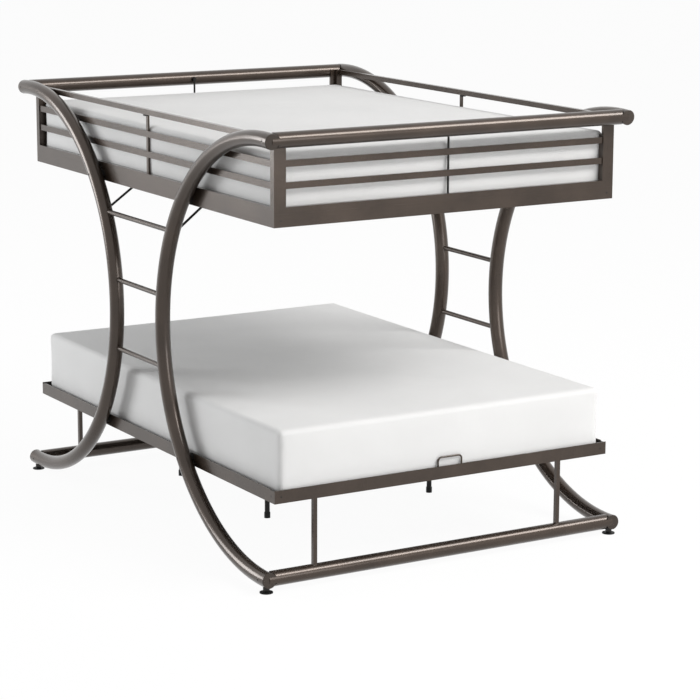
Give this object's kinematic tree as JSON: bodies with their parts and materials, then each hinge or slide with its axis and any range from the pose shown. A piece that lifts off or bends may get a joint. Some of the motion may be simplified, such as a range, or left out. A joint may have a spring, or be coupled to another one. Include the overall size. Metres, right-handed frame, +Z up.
{
  "type": "bunk bed",
  "caption": "Adult size metal bunk bed with bowed round-tube legs, ladder rungs between the bows on both sides, slatted decks, guard rails and mattresses.",
  "frame": {"origin": "on the floor, under the middle of the bed", "axes": "+X to the right across the width, +Y to the rear along the ladder sides, +Z up; the front end rail faces -Y"},
  "size_m": [1.543, 2.083, 1.622],
  "materials": {
    "bronze_coat": "satin",
    "black_coat": "satin",
    "black_steel": "satin",
    "black_plastic": "matte",
    "bronze_plastic": "satin",
    "white_cloth": "matte"
  },
  "bodies": {
    "frame": {"leg_front_left": "bronze_coat", "leg_front_right": "bronze_coat", "leg_rear_left": "bronze_coat", "leg_rear_right": "bronze_coat", "leg_end_caps": "bronze_plastic", "top_rail_front": "bronze_coat", "top_rail_rear": "bronze_coat", "floor_rail_front": "bronze_coat", "floor_rail_rear": "bronze_coat", "rail_end_plugs": "black_plastic", "rail_bolts": "bronze_coat", "upper_rail_front": "bronze_coat", "upper_rail_rear": "bronze_coat", "upper_rail_left": "bronze_coat", "upper_rail_right": "bronze_coat", "lower_rail_front": "bronze_coat", "lower_rail_rear": "bronze_coat", "lower_rail_left": "bronze_coat", "lower_rail_right": "bronze_coat", "post_front_left": "bronze_coat", "post_front_right": "bronze_coat", "post_rear_left": "bronze_coat", "post_rear_right": "bronze_coat", "guard_front": "bronze_coat", "guard_rear": "bronze_coat", "guard_rods": "black_coat", "guard_foot_bar_left": "bronze_coat", "guard_foot_bar_right": "bronze_coat", "guard_top_bar_left": "bronze_coat", "guard_top_bar_right": "bronze_coat", "guard_slats_left": "bronze_coat", "guard_slats_right": "bronze_coat", "guard_mid_posts": "bronze_coat", "guard_mid_caps": "black_plastic", "rungs_left": "bronze_coat", "rungs_right": "bronze_coat", "rung_bolts": "bronze_coat", "deck_braces": "black_coat", "upper_spacers": "black_coat", "lower_spacers": "black_coat", "spacer_bolts": "bronze_coat", "spacer_nuts": "black_steel", "floor_stands": "bronze_coat", "upper_slats": "black_coat", "lower_slats": "black_coat", "support_legs": "black_coat", "support_caps": "black_plastic", "mattress_stop": "bronze_coat", "corner_angles": "black_coat", "corner_bolts": "black_steel", "foot_inserts": "black_steel"},
    "foot_front_left": {"foot_front_left": "black_plastic"},
    "foot_front_right": {"foot_front_right": "black_plastic"},
    "foot_rear_left": {"foot_rear_left": "black_plastic"},
    "foot_rear_right": {"foot_rear_right": "black_plastic"},
    "upper_mattress": {"upper_mattress": "white_cloth"},
    "lower_mattress": {"lower_mattress": "white_cloth"}
  },
  "joints": [
    {"name": "foot_front_left_screw", "type": "slide", "parent": "frame", "child": "foot_front_left", "axis": [0, 0, -1], "range_m": [0, 0.025]},
    {"name": "foot_front_right_screw", "type": "slide", "parent": "frame", "child": "foot_front_right", "axis": [0, 0, -1], "range_m": [0, 0.025]},
    {"name": "foot_rear_left_screw", "type": "slide", "parent": "frame", "child": "foot_rear_left", "axis": [0, 0, -1], "range_m": [0, 0.025]},
    {"name": "foot_rear_right_screw", "type": "slide", "parent": "frame", "child": "foot_rear_right", "axis": [0, 0, -1], "range_m": [0, 0.025]},
    {"name": "upper_mattress_lift", "type": "slide", "parent": "frame", "child": "upper_mattress", "axis": [0, 0, 1], "range_m": [0, 0.35]},
    {"name": "lower_mattress_lift", "type": "slide", "parent": "frame", "child": "lower_mattress", "axis": [0, 0, 1], "range_m": [0, 0.4]}
  ]
}
